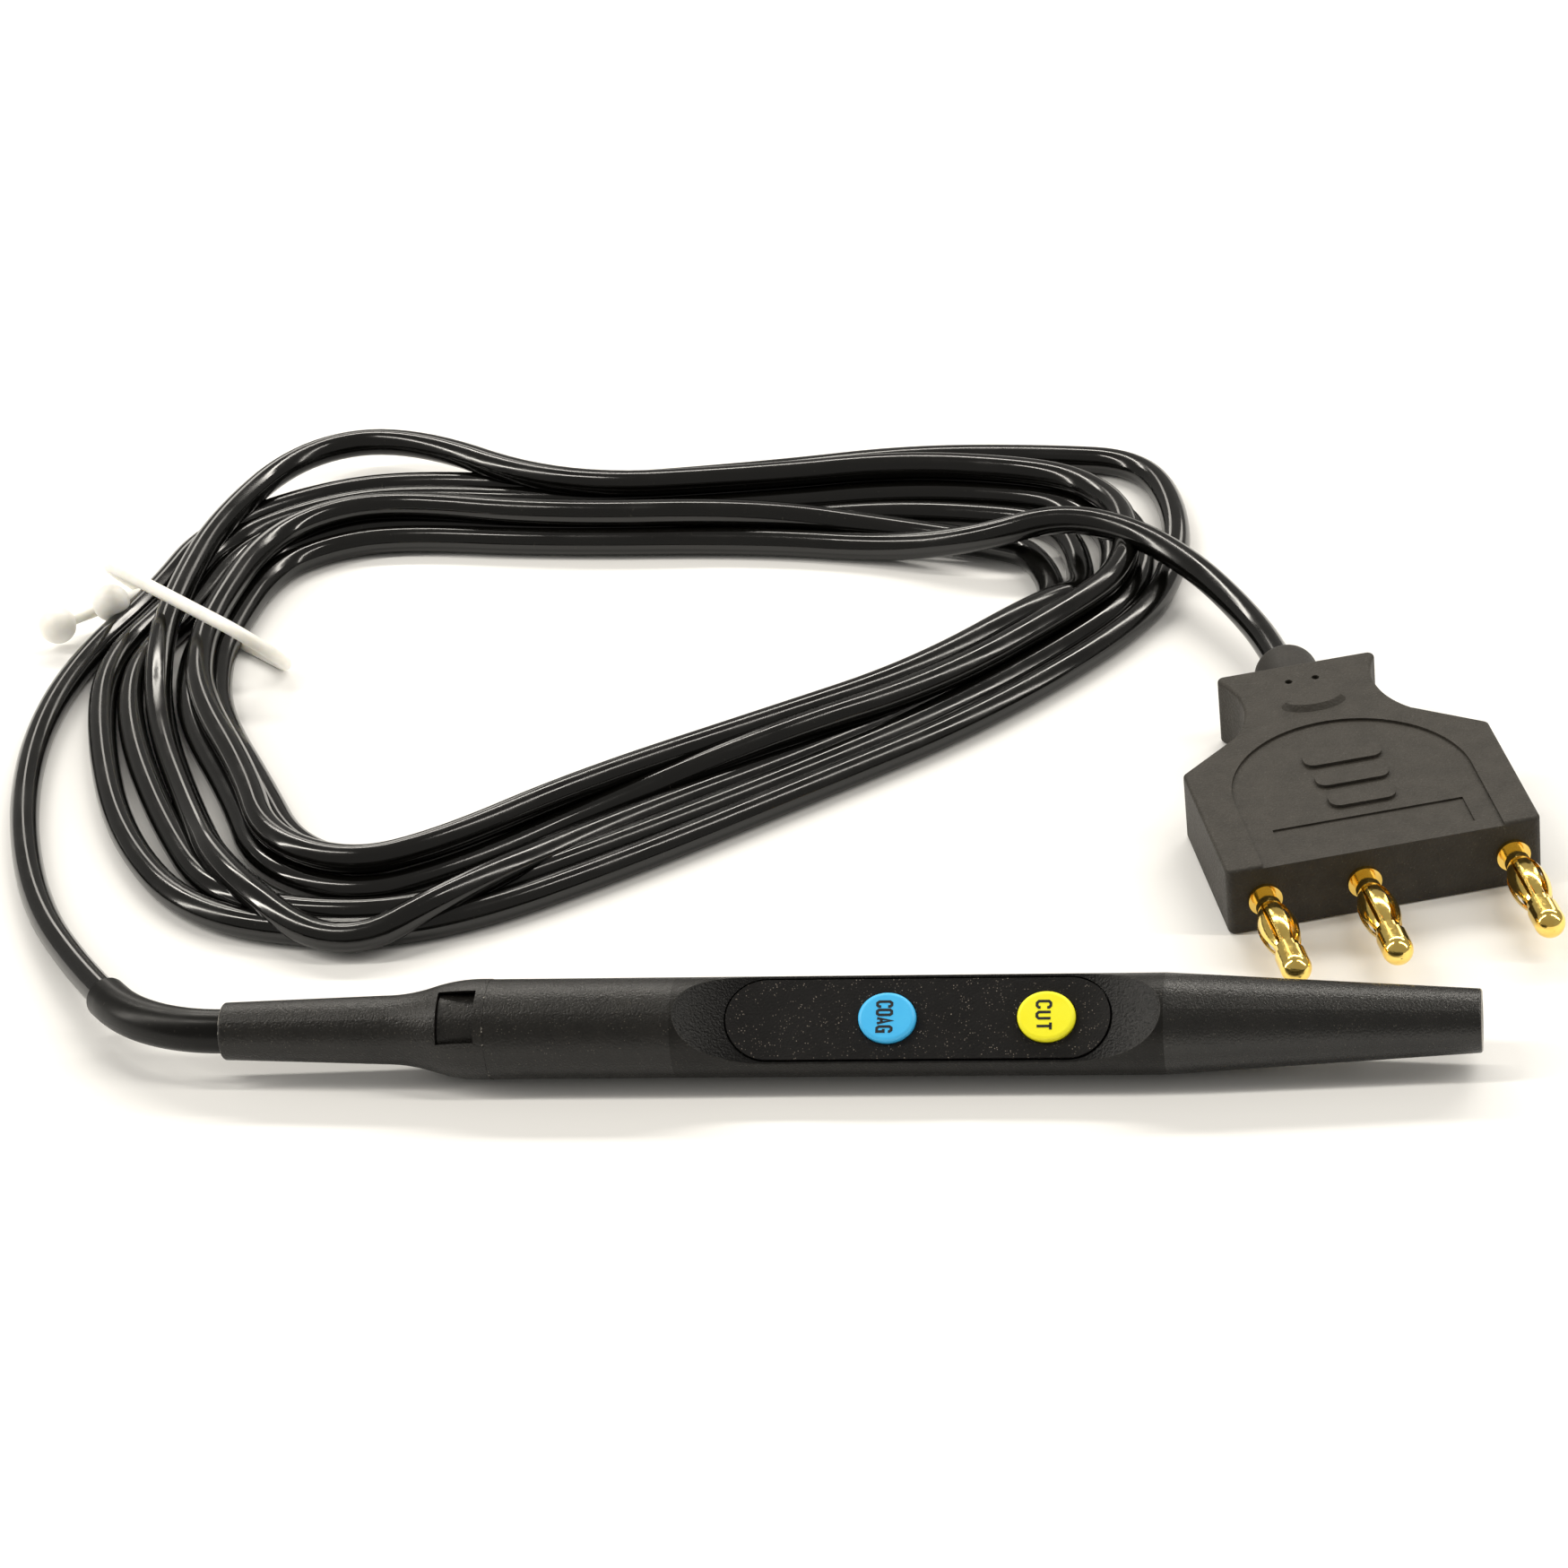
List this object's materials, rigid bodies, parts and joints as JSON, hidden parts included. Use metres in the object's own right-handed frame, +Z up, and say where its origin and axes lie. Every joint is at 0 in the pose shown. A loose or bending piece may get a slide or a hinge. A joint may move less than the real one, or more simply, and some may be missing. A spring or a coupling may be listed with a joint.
{
  "type": "electrosurgical pencil",
  "caption": "Slim hand-held electrosurgical pencil with coag and cut keys on a flat panel, an electrode socket in its nose, a tied coil of cord and a flat multi-pin plug.",
  "frame": {"origin": "middle of the pencil's footprint, on the surface that it lies on, without its cord and plug", "axes": "+X along the pencil towards its nose, +Z up, -Y the side that the key panel leans to"},
  "size_m": [0.216, 0.1574, 0.0123],
  "materials": {
    "pencil_shell": "charcoal, finely spark-textured",
    "keypad": "black, matte, fine grain with faint specks",
    "coag_key": "blue, satin",
    "cut_key": "yellow, satin",
    "switch_case": "black, plain",
    "circuit_board": "green, solder-masked",
    "socket_brass": "turned",
    "spring_steel": "bright",
    "conductor": "coloured insulation",
    "strain_relief": "black, smooth and matte",
    "cord": "black, glossy soft plastic",
    "tie": "milky, translucent and waxy",
    "plug": "dark grey, matte and soft to the touch",
    "plug_boot": "dark grey, matte",
    "plug_insert": "plain",
    "pin_gold": "gold-plated and polished"
  },
  "bodies": {
    "root": {"rear_sleeve": "pencil_shell", "rear_barrel": "pencil_shell", "switch_body": "pencil_shell", "nose_cone": "pencil_shell", "keypad_pad": "keypad", "coag_switch": "switch_case", "cut_switch": "switch_case", "switch_board": "circuit_board", "electrode_socket": "socket_brass", "socket_spring": "spring_steel", "cord_ferrule": "spring_steel", "active_wire": "conductor", "coag_wire": "conductor", "cut_wire": "conductor", "strain_relief": "strain_relief", "cord_lead": "cord", "cord_coil": "cord", "cord_tail": "cord", "cord_tie": "tie", "plug_body": "plug", "plug_boot": "plug_boot", "plug_insert": "plug_insert", "pin_left": "pin_gold", "pin_middle": "pin_gold", "pin_right": "pin_gold", "pin_left_spring": "pin_gold", "pin_middle_spring": "pin_gold", "pin_right_spring": "pin_gold", "plug_left_wire": "conductor", "plug_middle_wire": "conductor", "plug_right_wire": "conductor"},
    "coag_key": {"coag_button": "coag_key"},
    "cut_key": {"cut_button": "cut_key"}
  },
  "joints": [
    {"name": "coag_press", "type": "slide", "parent": "root", "child": "coag_key", "axis": [0, 0.6018, -0.7986], "range_m": [0, 0.0006], "stiffness_N_per_m": 600, "springref_m": -0.0005},
    {"name": "cut_press", "type": "slide", "parent": "root", "child": "cut_key", "axis": [0, 0.6018, -0.7986], "range_m": [0, 0.0006], "stiffness_N_per_m": 600, "springref_m": -0.0005}
  ]
}
